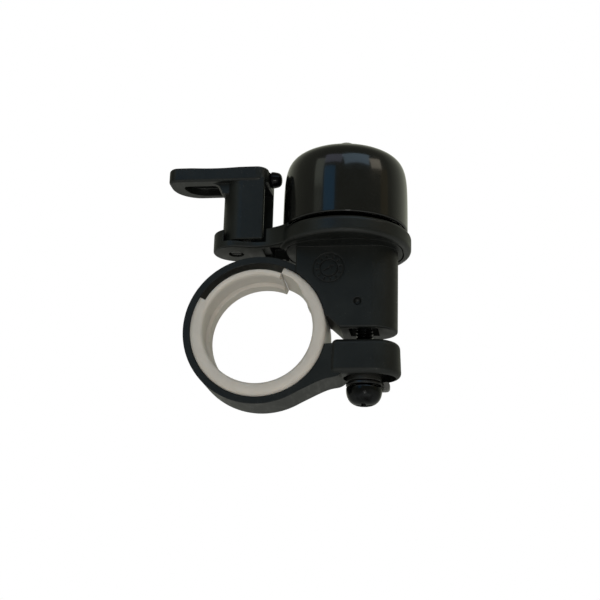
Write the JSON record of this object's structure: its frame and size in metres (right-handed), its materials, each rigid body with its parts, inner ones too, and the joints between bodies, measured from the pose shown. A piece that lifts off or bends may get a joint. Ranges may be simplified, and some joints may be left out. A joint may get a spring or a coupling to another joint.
{
  "type": "bicycle bell",
  "caption": "Compact bicycle bell: gloss black dome over a round base, rocking thumb lever with hammer knob, and a handlebar strap clamp with elastomer liner and tightening screw.",
  "frame": {"origin": "centre of the handlebar bore, midway across the clamp's width", "axes": "+Y along the handlebar, +Z the way the dome points, +X from the handlebar bore towards the dome and clamp block"},
  "size_m": [0.0578, 0.031, 0.0648],
  "materials": {
    "clamp_nylon": "satin moulded nylon",
    "liner_elastomer": "translucent warm white elastomer",
    "screw_black_zinc": "gloss black zinc",
    "washer_zinc": "dark zinc",
    "retainer_nylon": "natural nylon",
    "nut_steel": "zinc plated",
    "base_nylon": "satin moulded nylon",
    "base_screw_steel": "zinc plated",
    "dome_black_gloss": "deep gloss black",
    "bush_rubber": "matt rubber",
    "insert_brass": "turned",
    "dome_washer_zinc": "dark zinc",
    "dome_screw_steel": "dark zinc",
    "lever_nylon": "satin moulded nylon",
    "knob_black_gloss": "gloss black",
    "tie_steel": "zinc plated",
    "tie_nut_steel": "zinc plated",
    "seat_steel": "zinc plated",
    "spring_steel": "bright spring wire"
  },
  "bodies": {
    "clamp": {"clamp_body": "clamp_nylon", "clamp_liner": "liner_elastomer", "clamp_nut": "nut_steel", "screw_retainer": "retainer_nylon", "base_plate": "base_nylon", "base_screw_left": "base_screw_steel", "base_screw_right": "base_screw_steel", "dome": "dome_black_gloss", "dome_bush": "bush_rubber", "boss_insert": "insert_brass", "dome_washer": "dome_washer_zinc", "dome_screw": "dome_screw_steel", "tie_screw": "tie_steel", "tie_nut": "tie_nut_steel", "lever_spring": "spring_steel"},
    "lever": {"lever": "lever_nylon", "hammer_knob": "knob_black_gloss", "spring_seat": "seat_steel"},
    "washer": {"clamp_washer": "washer_zinc"},
    "screw": {"clamp_screw": "screw_black_zinc"}
  },
  "joints": [
    {"name": "lever_tilt", "type": "hinge", "parent": "clamp", "child": "lever", "pos_m": [-0.0092, 0, 0.0222], "axis": [0, -1, 0], "range_deg": [-3.4, 11], "stiffness_Nm_per_rad": 0.03, "deforming": ["lever_spring"]},
    {"name": "washer_travel", "type": "slide", "parent": "clamp", "child": "washer", "axis": [0, 0, -1], "range_m": [0, 0.00279]},
    {"name": "clamp_screw_turn", "type": "hinge", "parent": "washer", "child": "screw", "pos_m": [0.02406, 0, -0.0145], "axis": [0, 0, -1], "range_deg": [0, 1440]}
  ],
  "couplings": [
    {"joint": "clamp_screw_turn", "follows": "washer_travel", "rad_per_m": 8976}
  ]
}
